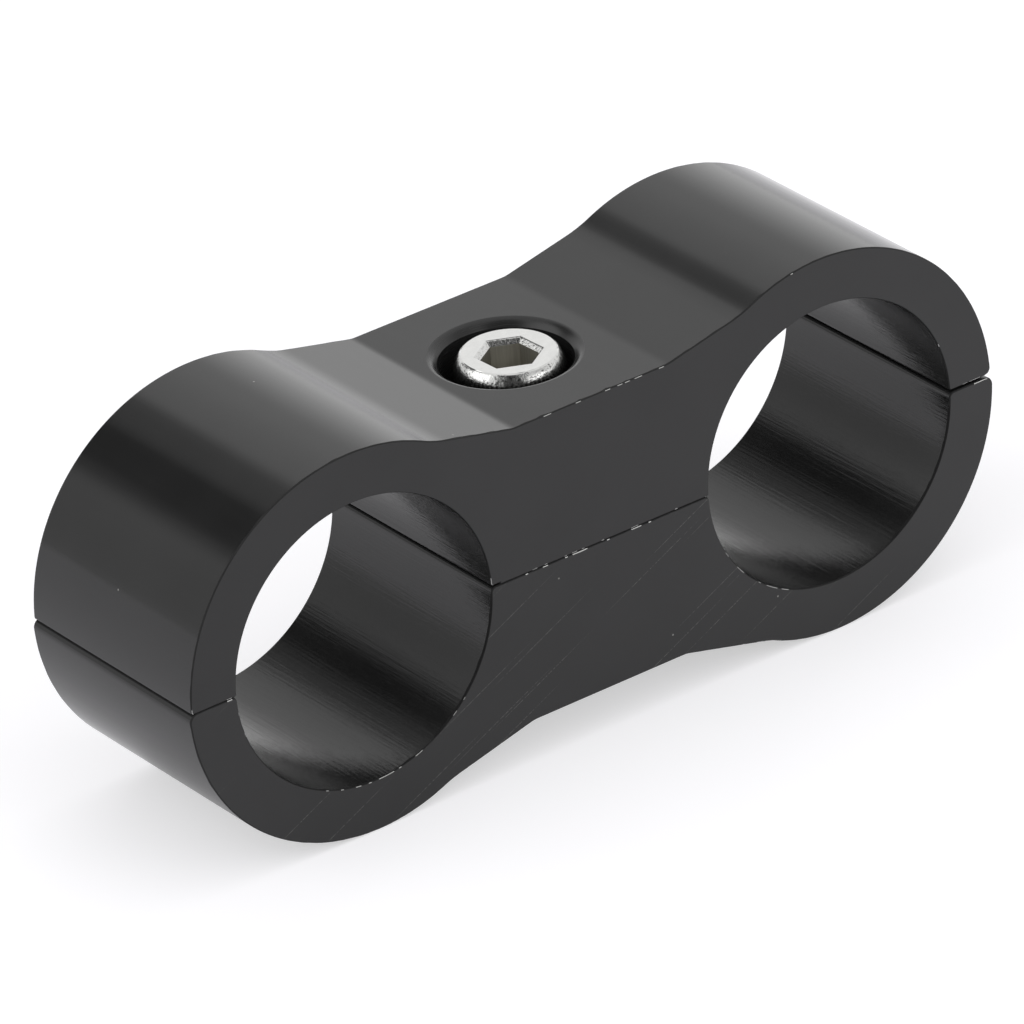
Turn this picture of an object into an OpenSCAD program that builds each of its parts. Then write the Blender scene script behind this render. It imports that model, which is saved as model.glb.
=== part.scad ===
// Hose separator clamp for two parallel hoses.
// Two aluminium halves meet on a flat split through both bores. One socket head screw
// passes down through a counterbored hole in the upper half and into a tapped hole in
// the lower half, and draws the halves together round the hoses.
// X runs across the two hoses, Y along them and Z up along the screw. The origin lies
// on the split, midway between the two bores. Sizes are in millimetres.

/* [Hose bores] */
// Diameter of each hose bore with the halves closed
bore_d = 15; // [13:0.1:17]
// Distance between the axes of the two bores
bore_spacing = 28.2; // [26.5:0.1:32]

/* [Halves] */
// Length of both halves along the hoses
clamp_length = 12.9; // [10:0.1:20]
// Wall round the bores in the upper half
upper_wall = 2.62; // [2.3:0.01:3.6]
// Wall round the bores in the lower half
lower_wall = 2.72; // [2.3:0.01:3.6]
// Height of the waist of the upper half, from the split to its flat
upper_waist = 7.9; // [6.5:0.1:9]
// Height of the waist of the lower half
lower_waist = 8; // [6.5:0.1:9]
// Length of the flat on the waist, between its two creases
flat_length = 9.3; // [8.4:0.1:10.5]
// How far the line of each upper ramp passes under the crown of the lobe that it meets
upper_ramp_dip = 0.39; // [0.1:0.01:0.6]
// The same for the ramps of the lower half
lower_ramp_dip = 0.2; // [0.1:0.01:0.6]
// Radius of the hollow where an upper ramp runs into its lobe
upper_hollow_r = 1.8; // [1:0.1:8]
// Radius of the hollow where a lower ramp runs into its lobe
lower_hollow_r = 5; // [1:0.1:8]
// Rounding of the outer edges along the split
outer_edge_r = 0.4; // [0.1:0.05:0.8]
// Rounding of the one outer edge that was left sharper, on the upper half's left
left_edge_r = 0.12; // [0.1:0.02:0.8]
// Rounding of the bore edges along the split
bore_edge_r = 0.25; // [0.1:0.05:0.5]
// Daylight under the foot of the upper half's right-hand wall
foot_gap = 0.15; // [0.05:0.01:0.3]

/* [Screw] */
// Nominal diameter of the thread
screw_d = 3; // [2.5:0.1:3.5]
// Length of the screw under its head
screw_length = 12; // [8:0.5:14]
// Bevel at the tip of the thread
tip_bevel = 0.4; // [0.1:0.05:0.7]
// Diameter of the head over the ridges of its knurl
head_d = 5.5; // [5:0.1:6]
// Height of the head
head_height = 3; // [2.5:0.1:3.5]
// Width and depth of the bevel round the top of the head
head_bevel = 0.4; // [0.1:0.02:0.5]
// Number of grooves in the knurl
knurl_count = 72; // [24:1:80]
// Depth of a groove of the knurl
knurl_depth = 0.08; // [0.05:0.01:0.12]
// Hexagon socket, across its flats
socket_af = 2.5; // [2:0.1:3]
// Depth of the socket's straight walls
socket_depth = 1.6; // [1:0.1:2]
// Bevel round the mouth of the socket
socket_bevel = 0.25; // [0.05:0.01:0.35]
// Turn of the socket in the picture, in degrees from the X axis to its first corner
socket_turn = 33; // [0:1:59]

/* [Fits] */
// Space between the head and the wall of its counterbore, all round
head_gap = 0.45; // [0.3:0.05:0.6]
// Space between the thread and the clearance hole in the upper half, all round
shank_gap = 0.3; // [0.25:0.05:0.5]
// Space between the thread's crests and the tapped hole in the lower half
thread_gap = 0.03; // [0.02:0.01:0.08]
// How far the counterbore was drilled off the screw's axis, to the right
counterbore_shift = -0.2; // [-0.2:0.05:0.2]
// Width of the bevel round the rim of the counterbore
rim_bevel = 0.68; // [0.2:0.02:0.7]

/* [Hidden] */

$fn = 96;

bore_r = bore_d / 2;
bore_x = bore_spacing / 2;
crease_x = flat_length / 2;
thread_r = screw_d / 2;
head_r = head_d / 2;

// The head stands flush with the flat, so its counterbore is as deep as it is high
seat_z = upper_waist - head_height;
tip_z = seat_z - screw_length;

// The hexagon's corners lie on this radius
socket_corner_r = socket_af / 2 / cos(30);

// Length by which a cutting shape passes beyond the face that it cuts
over = 1;
// Blending circles are drawn this many times the size of a tangent one. They then cross the
// faces that they blend at a slight angle, where grazing them could leave slivers.
crossing = 1.003;
// Half-size of a square that reaches past the whole clamp
reach = bore_spacing + bore_d;

body_black = [0.13, 0.13, 0.14];
plated_steel = [0.82, 0.82, 0.80];

// Slope of a ramp: its line leaves the crease and touches a circle round the bore that is
// smaller than the lobe by dip, so it always cuts the lobe at a shallow angle
function ramp_slope(lobe_r, waist, dip) =
    asin((lobe_r - dip) / norm([bore_x - crease_x, waist]))
    - atan2(waist, bore_x - crease_x);

// Centre of the circle that blends the ramp into the lobe: it lies its own radius above the
// ramp and its own radius outside the lobe
function hollow_centre(lobe_r, waist, dip, hollow_r) =
    let (
        slope = ramp_slope(lobe_r, waist, dip),
        along = [cos(slope), sin(slope)],
        above = [-sin(slope), cos(slope)],
        start = [crease_x - bore_x, waist] + hollow_r * above,
        half_b = start * along,
        travel = -half_b - sqrt(half_b ^ 2 - start * start + (lobe_r + hollow_r) ^ 2)
    )
    [bore_x, 0] + start + travel * along;

// Where the blend leaves the ramp
function ramp_end(lobe_r, waist, dip, hollow_r) =
    let (slope = ramp_slope(lobe_r, waist, dip))
    hollow_centre(lobe_r, waist, dip, hollow_r) + hollow_r * [sin(slope), -cos(slope)];

// Where the blend reaches the lobe
function lobe_start(lobe_r, waist, dip, hollow_r) =
    [bore_x, 0]
    + (hollow_centre(lobe_r, waist, dip, hollow_r) - [bore_x, 0])
    * lobe_r / (lobe_r + hollow_r);

// Waist, ramp and hollow on the right-hand side, from the split up
module waist_outline(lobe_r, waist, dip, hollow_r) {
    difference() {
        polygon([
            [0, 0], [bore_x, 0], lobe_start(lobe_r, waist, dip, hollow_r),
            ramp_end(lobe_r, waist, dip, hollow_r), [crease_x, waist], [0, waist]
        ]);
        translate(hollow_centre(lobe_r, waist, dip, hollow_r))
            circle(r = hollow_r * crossing);
    }
}

// What is cut away to round an edge of a foot. The edge runs along a wall that curves round
// the bore axis: convex is true for the outside of the lobe and false for the bore.
// outward is the side of the foot on which the edge lies, and foot_z is the foot's height.
module edge_cut(wall_r, edge_r, outward, foot_z, convex) {
    centre_r = convex ? wall_r - edge_r : wall_r + edge_r;
    side = convex ? outward : -outward;
    centre = [side * sqrt(centre_r ^ 2 - (foot_z + edge_r) ^ 2), foot_z + edge_r];
    touch = centre * wall_r / centre_r;
    far_x = centre[0] + outward * (edge_r + over);
    difference() {
        polygon([
            centre, [centre[0], foot_z - over], [far_x, foot_z - over],
            [far_x, touch[1]], touch
        ]);
        translate(centre)
            circle(r = edge_r * crossing);
    }
}

// Foot of the wall outside the bore, on the right: its two rounded edges and its daylight
module wall_foot_cut(lobe_r, edge_r, foot_z) {
    edge_cut(lobe_r, edge_r, 1, foot_z, true);
    edge_cut(bore_r, bore_edge_r, -1, foot_z, false);
    translate([0, foot_z - over])
        square([reach, over]);
}

// Section of one half with its split at the bottom. right_foot is the height at which the
// foot of the right-hand wall ends, and left_r rounds the outer edge of the left-hand wall.
module half_section(lobe_r, waist, dip, hollow_r, right_foot, left_r) {
    difference() {
        union() {
            for (side = [0, 1])
                mirror([side, 0]) {
                    translate([bore_x, 0])
                        circle(r = lobe_r);
                    waist_outline(lobe_r, waist, dip, hollow_r);
                }
        }
        translate([-reach, -reach])
            square([2 * reach, reach]);
        for (side = [0, 1])
            mirror([side, 0])
                translate([bore_x, 0]) {
                    circle(r = bore_r);
                    edge_cut(bore_r, bore_edge_r, 1, 0, false);
                    wall_foot_cut(
                        lobe_r, side == 0 ? outer_edge_r : left_r, side == 0 ? right_foot : 0
                    );
                }
    }
}

// One half, cut to length, with the split underneath
module half_body(lobe_r, waist, dip, hollow_r, right_foot, left_r) {
    rotate([90, 0, 0])
        linear_extrude(height = clamp_length, center = true)
            half_section(lobe_r, waist, dip, hollow_r, right_foot, left_r);
}

// Clearance hole, counterbore and its bevelled rim, as one turned cutter
module screw_hole() {
    hole_r = thread_r + shank_gap;
    counterbore_r = head_r + head_gap;
    rim_r = counterbore_r + rim_bevel;
    translate([counterbore_shift, 0, 0])
        rotate_extrude()
            polygon([
                [0, -over], [hole_r, -over], [hole_r, seat_z], [counterbore_r, seat_z],
                [counterbore_r, upper_waist - rim_bevel], [rim_r, upper_waist],
                [rim_r, upper_waist + over], [0, upper_waist + over]
            ]);
}

module upper_half() {
    color(body_black)
        difference() {
            half_body(
                bore_r + upper_wall, upper_waist, upper_ramp_dip, upper_hollow_r, foot_gap,
                left_edge_r
            );
            screw_hole();
        }
}

module lower_half() {
    color(body_black)
        difference() {
            mirror([0, 0, 1])
                half_body(
                    bore_r + lower_wall, lower_waist, lower_ramp_dip, lower_hollow_r, 0,
                    outer_edge_r
                );
            translate([0, 0, -lower_waist - over])
                cylinder(h = lower_waist + 2 * over, r = thread_r + thread_gap);
        }
}

// Head and thread of the screw as one turned blank
module screw_blank() {
    rotate_extrude()
        polygon([
            [0, tip_z], [thread_r - tip_bevel, tip_z], [thread_r, tip_z + tip_bevel],
            [thread_r, seat_z], [head_r, seat_z], [head_r, upper_waist - head_bevel],
            [head_r - head_bevel, upper_waist], [0, upper_waist]
        ]);
}

// Straight knurl: V grooves round the head that run out in its bevel
module knurl_grooves() {
    for (i = [0 : knurl_count - 1])
        rotate(i * 360 / knurl_count)
            translate([head_r, 0, seat_z - over])
                cylinder(h = head_height + 2 * over, r = knurl_depth, $fn = 4);
}

// Hexagon socket with a bevelled mouth and the shallow cone that a punch leaves
module socket_cut() {
    cone_height = socket_af / 2 * tan(30);
    floor_z = upper_waist - socket_depth;
    rotate(socket_turn) {
        translate([0, 0, floor_z])
            cylinder(h = socket_depth + over, r = socket_corner_r, $fn = 6);
        // Three crossed wedges leave a hexagon that widens towards its mouth
        intersection_for (i = [0 : 2])
            rotate([90, 0, i * 60])
                translate([0, upper_waist, 0])
                    linear_extrude(height = head_d, center = true)
                        polygon([
                            [-socket_af / 2, -socket_bevel], [socket_af / 2, -socket_bevel],
                            [socket_af / 2 + socket_bevel, 0], [socket_af / 2 + socket_bevel, over],
                            [-socket_af / 2 - socket_bevel, over], [-socket_af / 2 - socket_bevel, 0]
                        ]);
    }
    translate([0, 0, floor_z - cone_height])
        cylinder(h = cone_height, r1 = 0, r2 = socket_af / 2);
}

module clamp_screw() {
    color(plated_steel)
        difference() {
            screw_blank();
            knurl_grooves();
            socket_cut();
        }
}

lower_half();
upper_half();
clamp_screw();
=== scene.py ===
# %% [markdown]
# Hose separator clamp.
#
# The real object carries two hydraulic hoses side by side. It is two short lengths of
# extruded aluminium bar, split through both hose bores and anodised black, with one bright
# socket head screw between the hoses that draws them together.
#
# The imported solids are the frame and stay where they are. This script lays a finer skin
# over each of the three solids, to the same sizes, and gives each skin its finish.

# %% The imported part
import math
import random
from collections import namedtuple

import bmesh
import bpy
from mathutils import Matrix, Quaternion, Vector, noise


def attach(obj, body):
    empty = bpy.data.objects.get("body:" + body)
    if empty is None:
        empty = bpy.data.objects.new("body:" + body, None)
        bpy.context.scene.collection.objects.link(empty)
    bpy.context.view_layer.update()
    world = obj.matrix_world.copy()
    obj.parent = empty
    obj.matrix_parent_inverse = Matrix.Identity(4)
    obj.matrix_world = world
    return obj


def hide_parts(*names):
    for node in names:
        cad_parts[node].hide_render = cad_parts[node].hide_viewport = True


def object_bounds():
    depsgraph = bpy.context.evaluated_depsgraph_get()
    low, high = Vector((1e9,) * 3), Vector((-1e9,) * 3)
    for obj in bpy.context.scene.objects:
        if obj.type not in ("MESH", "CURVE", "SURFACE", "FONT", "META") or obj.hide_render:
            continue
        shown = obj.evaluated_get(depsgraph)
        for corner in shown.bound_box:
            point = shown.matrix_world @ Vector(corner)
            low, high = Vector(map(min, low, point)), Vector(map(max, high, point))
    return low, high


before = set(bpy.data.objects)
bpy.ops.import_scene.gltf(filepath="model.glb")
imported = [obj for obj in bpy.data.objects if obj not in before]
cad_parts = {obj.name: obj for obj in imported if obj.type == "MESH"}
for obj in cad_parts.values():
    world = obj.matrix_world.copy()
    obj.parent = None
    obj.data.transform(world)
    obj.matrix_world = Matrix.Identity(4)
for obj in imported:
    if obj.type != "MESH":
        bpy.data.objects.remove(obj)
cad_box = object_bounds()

print("solids:", ", ".join(sorted(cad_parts)))
print("box in mm:", [round((high - low) * 1000, 2) for low, high in zip(*cad_box)])

# %% [markdown]
# The camera comes first, because everything is compared with the photograph through it.
# It could be placed by eye. Here it was fitted to the edges of the bores in the picture,
# so it is written as a photographer would say it: where it aims, from which side, how
# steeply, how far away, and how much the camera body was tipped.

# %% Camera
MM = 0.001
CAMERA_AIM = Vector((-0.554, -0.050, -0.667))
CAMERA_AZIMUTH = -35.195
CAMERA_ELEVATION = 28.362
CAMERA_ROLL = -4.321
CAMERA_DISTANCE = 516.73
CAMERA_LENS = 375.795
SENSOR_WIDTH = 36.0


def towards(azimuth, elevation):
    """Unit vector to a compass direction: azimuth from +Y towards +X, both in degrees."""
    flat = math.cos(math.radians(elevation))
    turn = math.radians(azimuth)
    return Vector((math.sin(turn) * flat, math.cos(turn) * flat, math.sin(math.radians(elevation))))


scene = bpy.context.scene
camera_back = towards(180 - CAMERA_AZIMUTH, CAMERA_ELEVATION)
camera = bpy.data.objects.new("camera", bpy.data.cameras.new("camera"))
scene.collection.objects.link(camera)
camera.location = (CAMERA_AIM + camera_back * CAMERA_DISTANCE) * MM
camera.rotation_mode = "QUATERNION"
camera.rotation_quaternion = (-camera_back).to_track_quat("-Z", "Y") @ Quaternion(
    (0, 0, 1), math.radians(CAMERA_ROLL))
camera.data.sensor_width = SENSOR_WIDTH
camera.data.lens = CAMERA_LENS
scene.camera = camera
print("camera at", [round(c * 1000, 1) for c in camera.location], "mm")

# %% [markdown]
# Colours are written as the hex values that a paint program shows. Shaders work with
# linear light, so one function turns the first into the second. A second small function
# adds a shader node, sets it up and joins it to the nodes that feed it.

# %% Colour and node helpers


def linear(hex_colour):
    """Linear RGBA of an sRGB hex colour."""
    channels = [int(hex_colour[i:i + 2], 16) / 255 for i in (0, 2, 4)]
    return [c / 12.92 if c <= 0.04045 else ((c + 0.055) / 1.055) ** 2.4 for c in channels] + [1]


def add_node(tree, kind, feeds=None, **settings):
    """Adds a node. settings are its options, feeds its sockets: values or other outputs."""
    node = tree.nodes.new(kind)
    for name, value in settings.items():
        setattr(node, name, value)
    for socket, value in (feeds or {}).items():
        if isinstance(value, bpy.types.NodeSocket):
            tree.links.new(value, node.inputs[socket])
        else:
            node.inputs[socket].default_value = value
    return node


def new_material(name):
    """A material with an empty node tree."""
    material = bpy.data.materials.new(name)
    material.use_nodes = True
    material.node_tree.nodes.clear()
    return material


print("black of the anodised halves:", [round(c, 4) for c in linear("1f1f20")[:3]])

# %% [markdown]
# The photograph was taken in a white tent. The glossy black halves show what was round
# them: a bright panel behind on the right lights their crowns, a dark thing behind on the
# left draws a dark band along each lobe, and the screw's shoulder mirrors the dark opening
# over the camera. Lamps could be placed one by one, but the tent is simpler as the world
# itself: a level of white all round, changed in a few round patches. A later patch covers
# an earlier one where the two meet.

# %% The tent
TENT_LEVEL = 0.8
# azimuth, elevation, radius of the even part, radius at which it ends, level
TENT_PATCHES = [
    # The bright panel behind on the right, and its paler upper edge
    (43, -8, 8, 40, 1.35),
    (22, 38, 9, 18, 0.96),
    # The greyer wall behind on the left, the dark thing before it and that thing's fainter side
    (-42, 14, 8, 24, 0.6),
    (-21, 40, 7, 19, 0.04),
    (-2, 44, 4, 10, 0.34),
    # Bright sides for the screw's shoulder, and a grey gap over the right one
    (-68, 35, 14, 30, 1.5),
    (150, 19, 8, 22, 1.5),
    (133, 46, 8, 24, 0.45),
    # The dark opening round the camera
    (-145, 60, 18, 26, 0.06),
    (-145, 30, 22, 32, 0.06),
]

world = bpy.data.worlds.new("white_tent")
world.use_nodes = True
scene.world = world
tent = world.node_tree
tent.nodes.clear()
outlook = add_node(tent, "ShaderNodeTexCoord").outputs["Generated"]
level = TENT_LEVEL
for azimuth, elevation, even, edge, patch_level in TENT_PATCHES:
    facing = add_node(tent, "ShaderNodeVectorMath", {0: outlook, 1: towards(azimuth, elevation)},
                      operation="DOT_PRODUCT")
    inside = add_node(tent, "ShaderNodeMapRange", {
        "Value": facing.outputs["Value"], "From Min": math.cos(math.radians(edge)),
        "From Max": math.cos(math.radians(even))}, interpolation_type="SMOOTHSTEP")
    level = add_node(tent, "ShaderNodeMix", {
        0: inside.outputs[0], 2: level, 3: patch_level}, data_type="FLOAT").outputs[0]
tent_light = add_node(tent, "ShaderNodeBackground", {"Color": linear("ffffff"), "Strength": level})
plain_white = add_node(tent, "ShaderNodeBackground", {"Color": linear("ffffff"), "Strength": 1.0})
camera_ray = add_node(tent, "ShaderNodeLightPath").outputs["Is Camera Ray"]
tent_mix = add_node(tent, "ShaderNodeMixShader", {
    0: camera_ray, 1: tent_light.outputs[0], 2: plain_white.outputs[0]})
add_node(tent, "ShaderNodeOutputWorld", {0: tent_mix.outputs[0]})
print("tent patches:", len(TENT_PATCHES))

# %% [markdown]
# A large soft lamp beside the camera brings the light up to the level at which colours come
# out as they are written, and lays the shadow behind the clamp. It stays out of
# reflections, which show the tent alone.
# The floor is a pale sheet. The camera sees it lifted to white as in the photograph, but it
# still takes the soft shadow of the clamp. The mirroring surfaces see it lifted too, and
# more so towards the bright panel behind on the right: there the sheet has a painted glow
# that stands in for the panel's light falling on it.

# %% Lamp and floor
LAMP_SIZE = 1200
LAMP_AZIMUTH = 205
LAMP_ELEVATION = 50
LAMP_DISTANCE = 700
LAMP_POWER = 3.9
FLOOR_SIZE = 6000
CAMERA_LIFT = 0.52
MIRRORED_LIFT = (0.22, 0.55)
# Distances towards the panel between which the mirrored lift grows, a painted glow in place of the
# panel's light on the sheet
LIFT_START = -20
LIFT_END = 70
PANEL_AZIMUTH = 43
FLOOR_HEIGHT = cad_box[0][2]

lamp = bpy.data.objects.new("soft_lamp", bpy.data.lights.new("soft_lamp", "AREA"))
lamp.data.size = LAMP_SIZE * MM
lamp.data.energy = LAMP_POWER
lamp_side = towards(LAMP_AZIMUTH, LAMP_ELEVATION)
lamp.location = lamp_side * LAMP_DISTANCE * MM
lamp.rotation_mode = "QUATERNION"
lamp.rotation_quaternion = lamp_side.to_track_quat("Z", "Y")
lamp.visible_glossy = False
lamp.visible_camera = False
scene.collection.objects.link(lamp)

paper = new_material("white_paper_sweep")
dull = add_node(paper.node_tree, "ShaderNodeBsdfDiffuse", {"Color": linear("c8c7cb")})
ray = add_node(paper.node_tree, "ShaderNodeLightPath")
spot = add_node(paper.node_tree, "ShaderNodeTexCoord").outputs["Object"]
panel_way = add_node(paper.node_tree, "ShaderNodeVectorMath", {
    0: spot, 1: towards(PANEL_AZIMUTH, 0)}, operation="DOT_PRODUCT")
# Painted glow: seen only in reflections, it grows towards the panel in place of the panel's light
# falling on the sheet
painted_panel_glow = add_node(paper.node_tree, "ShaderNodeMapRange", {
    "Value": panel_way.outputs["Value"], "From Min": LIFT_START * MM, "From Max": LIFT_END * MM,
    "To Min": MIRRORED_LIFT[0], "To Max": MIRRORED_LIFT[1]})
in_mirrors = add_node(paper.node_tree, "ShaderNodeMath", {
    0: ray.outputs["Is Glossy Ray"], 1: painted_panel_glow.outputs[0]}, operation="MULTIPLY")
lift = add_node(paper.node_tree, "ShaderNodeMath", {
    0: ray.outputs["Is Camera Ray"], 1: CAMERA_LIFT, 2: in_mirrors.outputs[0]},
    operation="MULTIPLY_ADD")
glow = add_node(paper.node_tree, "ShaderNodeEmission", {
    "Color": linear("ffffff"), "Strength": lift.outputs[0]})
both = add_node(paper.node_tree, "ShaderNodeAddShader", {0: dull.outputs[0], 1: glow.outputs[0]})
add_node(paper.node_tree, "ShaderNodeOutputMaterial", {0: both.outputs[0]})

floor_bm = bmesh.new()
bmesh.ops.create_grid(floor_bm, x_segments=2, y_segments=2, size=FLOOR_SIZE * MM / 2,
                      matrix=Matrix.Translation((0, 0, FLOOR_HEIGHT)))
floor_mesh = bpy.data.meshes.new("floor")
floor_bm.to_mesh(floor_mesh)
floor_bm.free()
floor_mesh.materials.append(paper)
floor = bpy.data.objects.new("floor", floor_mesh)
scene.collection.objects.link(floor)
print("floor at", round(FLOOR_HEIGHT * 1000, 2), "mm")

# %% [markdown]
# Black anodised aluminium. The oxide layer is dyed in its pores and sealed, so the eye
# sees a glassy skin with a clear sheen over a deep black, not a metal. The tools leave fine
# lines in the metal, which bend the sheen from line to line. The lines are a noise that
# reads a place stretched along them, and each surface has its own stretch. A finer grain of
# 0.1 mm stands for the etched surface, drawn coarser than the real 0.02 mm so that it shows.

# %% Black anodised aluminium
ANODISED_IOR = 1.5
FILED_IOR = 1.3
ETCH_GRAIN = 0.1
ETCH_RELIEF = 0.0004
# The few deep scratches are very long, thin cells with one scratch in the middle of each:
# their spacing along and across in mm, and the part of a cell that the scratch takes
SCRATCH_RISE = 26
SCRATCH_CELL = (65, 0.3, 1)
SCRATCH_SHARE = 0.06
# Specks of dust: their spacing in mm, their outer and inner radius as a part of it, and the
# value over which a cell has one
DUST_SPACING = 1.3
DUST_RADII = (0.05, 0.02)
DUST_RARITY = 0.93
CLOUD_SIZE = 4
# Most values of a noise lie between these
NOISE_RANGE = (0.3, 0.7)
# A scratch fades out as the grain's noise falls from the second value to the first
BROKEN_RANGE = (0.4, 0.6)
PALE_MARK = linear("8c8c88")


def anodised_black(name, place_on_lines, spacing, relief, dull_low, dull_high,
                   index=ANODISED_IOR, scratched=0.0):
    """Black anodised finish with fine lines. place_on_lines takes the tree and the place and
    gives the place stretched along the lines. spacing and relief are in mm, and scratched is
    how much the few deep scratches under the split lighten the black."""
    material = new_material(name)
    tree = material.node_tree
    place = add_node(tree, "ShaderNodeTexCoord").outputs["Object"]
    lines = add_node(tree, "ShaderNodeTexNoise", {
        "Vector": place_on_lines(tree, place), "Scale": 1 / (spacing * MM), "Detail": 4.0,
        "Roughness": 0.65})
    etch = add_node(tree, "ShaderNodeTexNoise", {
        "Vector": place, "Scale": 1 / (ETCH_GRAIN * MM), "Detail": 3.0, "Roughness": 0.6})
    clouds = add_node(tree, "ShaderNodeTexNoise", {
        "Vector": place, "Scale": 1 / (CLOUD_SIZE * MM), "Detail": 2.0})
    dust_cells = add_node(tree, "ShaderNodeTexVoronoi", {
        "Vector": place, "Scale": 1 / (DUST_SPACING * MM), "Randomness": 1.0})
    dust_size = add_node(tree, "ShaderNodeMapRange", {
        "Value": dust_cells.outputs["Distance"], "From Min": DUST_RADII[0],
        "From Max": DUST_RADII[1]})
    draw = add_node(tree, "ShaderNodeSeparateColor", {0: dust_cells.outputs["Color"]})
    chosen = add_node(tree, "ShaderNodeMath", {0: draw.outputs[0], 1: DUST_RARITY},
                      operation="GREATER_THAN")
    dust = add_node(tree, "ShaderNodeMath", {0: dust_size.outputs[0], 1: chosen.outputs[0]},
                    operation="MULTIPLY")
    deep = add_node(tree, "ShaderNodeMix", {
        0: clouds.outputs["Fac"], 6: linear("1d1d1d"), 7: linear("252525")}, data_type="RGBA")
    # The front lies in the X and Y of this place, because flat cells read only these two
    laid_flat = add_node(tree, "ShaderNodeMapping", {
        "Vector": place, "Rotation": (math.radians(90), 0, 0)}, vector_type="TEXTURE")
    slanted = add_node(tree, "ShaderNodeMapping", {
        "Vector": laid_flat.outputs[0], "Rotation": (0, 0, math.radians(SCRATCH_RISE)),
        "Scale": SCRATCH_CELL}, vector_type="TEXTURE")
    scratch_cells = add_node(tree, "ShaderNodeTexVoronoi", {
        "Vector": slanted.outputs[0], "Scale": 1 / MM}, voronoi_dimensions="2D")
    line = add_node(tree, "ShaderNodeMapRange", {
        "Value": scratch_cells.outputs["Distance"], "From Min": SCRATCH_SHARE,
        "From Max": SCRATCH_SHARE / 2, "To Max": scratched})
    height = add_node(tree, "ShaderNodeSeparateXYZ", {0: place})
    under_split = add_node(tree, "ShaderNodeMath", {0: height.outputs[2], 1: 0.0},
                           operation="LESS_THAN")
    broken = add_node(tree, "ShaderNodeMapRange", {
        "Value": etch.outputs["Fac"], "From Min": BROKEN_RANGE[0],
        "From Max": BROKEN_RANGE[1]})
    scored_here = add_node(tree, "ShaderNodeMath", {
        0: line.outputs[0], 1: under_split.outputs[0]}, operation="MULTIPLY")
    scratch = add_node(tree, "ShaderNodeMath", {0: scored_here.outputs[0], 1: broken.outputs[0]},
                       operation="MULTIPLY")
    scored = add_node(tree, "ShaderNodeMix", {
        0: scratch.outputs[0], 6: deep.outputs[2], 7: PALE_MARK}, data_type="RGBA")
    colour = add_node(tree, "ShaderNodeMix", {
        0: dust.outputs[0], 6: scored.outputs[2], 7: PALE_MARK}, data_type="RGBA")
    dullness = add_node(tree, "ShaderNodeMapRange", {
        "Value": lines.outputs["Fac"], "From Min": NOISE_RANGE[0],
        "From Max": NOISE_RANGE[1], "To Min": dull_low, "To Max": dull_high})
    surface = add_node(tree, "ShaderNodeMath", {
        0: etch.outputs["Fac"], 1: ETCH_RELIEF / relief, 2: lines.outputs["Fac"]},
        operation="MULTIPLY_ADD")
    bump = add_node(tree, "ShaderNodeBump", {
        "Strength": 1.0, "Distance": relief * MM, "Height": surface.outputs[0]})
    skin = add_node(tree, "ShaderNodeBsdfPrincipled", {
        "Base Color": colour.outputs[2], "Roughness": dullness.outputs[0],
        "IOR": index, "Normal": bump.outputs[0]})
    add_node(tree, "ShaderNodeOutputMaterial", {0: skin.outputs[0]})
    return material


def stretched(turn, stretch):
    """Stretches the place along its X axis after a turn in degrees about X, Y and Z."""
    def place_on_lines(tree, place):
        return add_node(tree, "ShaderNodeMapping", {
            "Vector": place, "Rotation": [math.radians(a) for a in turn],
            "Scale": (stretch, 1, 1)}, vector_type="TEXTURE").outputs[0]
    return place_on_lines


def round_axis(tree, place):
    """Gives the radius and the height, so the lines run round the screw's axis."""
    flat = add_node(tree, "ShaderNodeVectorMath", {0: place, 1: (1, 1, 0)},
                    operation="MULTIPLY")
    radius = add_node(tree, "ShaderNodeVectorMath", {0: flat.outputs[0]}, operation="LENGTH")
    height = add_node(tree, "ShaderNodeSeparateXYZ", {0: place})
    return add_node(tree, "ShaderNodeCombineXYZ", {
        0: radius.outputs["Value"], 1: height.outputs[2]}).outputs[0]


print("index of the sealed skin:", ANODISED_IOR)

# %% [markdown]
# The halves have four kinds of surface. The outside came smooth from the extrusion die,
# with faint lines along the hoses. The bores were drawn through a rougher tool, and their
# lengthwise lines break every reflection into streaks. The front and back were sawn and
# then rubbed flat, so their scratches run at a slant and the sheen is duller. The hole was
# turned, with rings round the screw. The filed edges are the fifth: a rough, matt line that
# outlines every face, where the oxide has chipped off in flecks and bare metal shines.

# %% The surfaces of the halves
DIE_LINE_LENGTH = 45
BORE_LINE_LENGTH = 40
SANDING_LENGTH = 60

black_extruded = anodised_black(
    "black_anodised_extruded_aluminium", stretched((0, 0, 90), DIE_LINE_LENGTH),
    spacing=0.3, relief=0.001, dull_low=0.11, dull_high=0.16)
black_bore = anodised_black(
    "black_anodised_drawn_bore", stretched((0, 0, 90), BORE_LINE_LENGTH),
    spacing=0.13, relief=0.012, dull_low=0.06, dull_high=0.1)
black_sawn = anodised_black(
    "black_anodised_sawn_aluminium", stretched((0, -SCRATCH_RISE, 0), SANDING_LENGTH),
    spacing=0.12, relief=0.0012, dull_low=0.3, dull_high=0.37, scratched=0.45)
black_turned = anodised_black(
    "black_anodised_turned_aluminium", round_axis,
    spacing=0.08, relief=0.0025, dull_low=0.2, dull_high=0.3)
black_filed = anodised_black(
    "black_anodised_filed_edge", stretched((0, 0, 0), 1),
    spacing=0.06, relief=0.004, dull_low=0.45, dull_high=0.6, index=FILED_IOR)

bare_metal = new_material("bare_aluminium_fleck")
bare_skin = add_node(bare_metal.node_tree, "ShaderNodeBsdfPrincipled", {
    "Base Color": linear("bdbdbb"), "Metallic": 1.0, "Roughness": 0.4})
add_node(bare_metal.node_tree, "ShaderNodeOutputMaterial", {0: bare_skin.outputs[0]})

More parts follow.
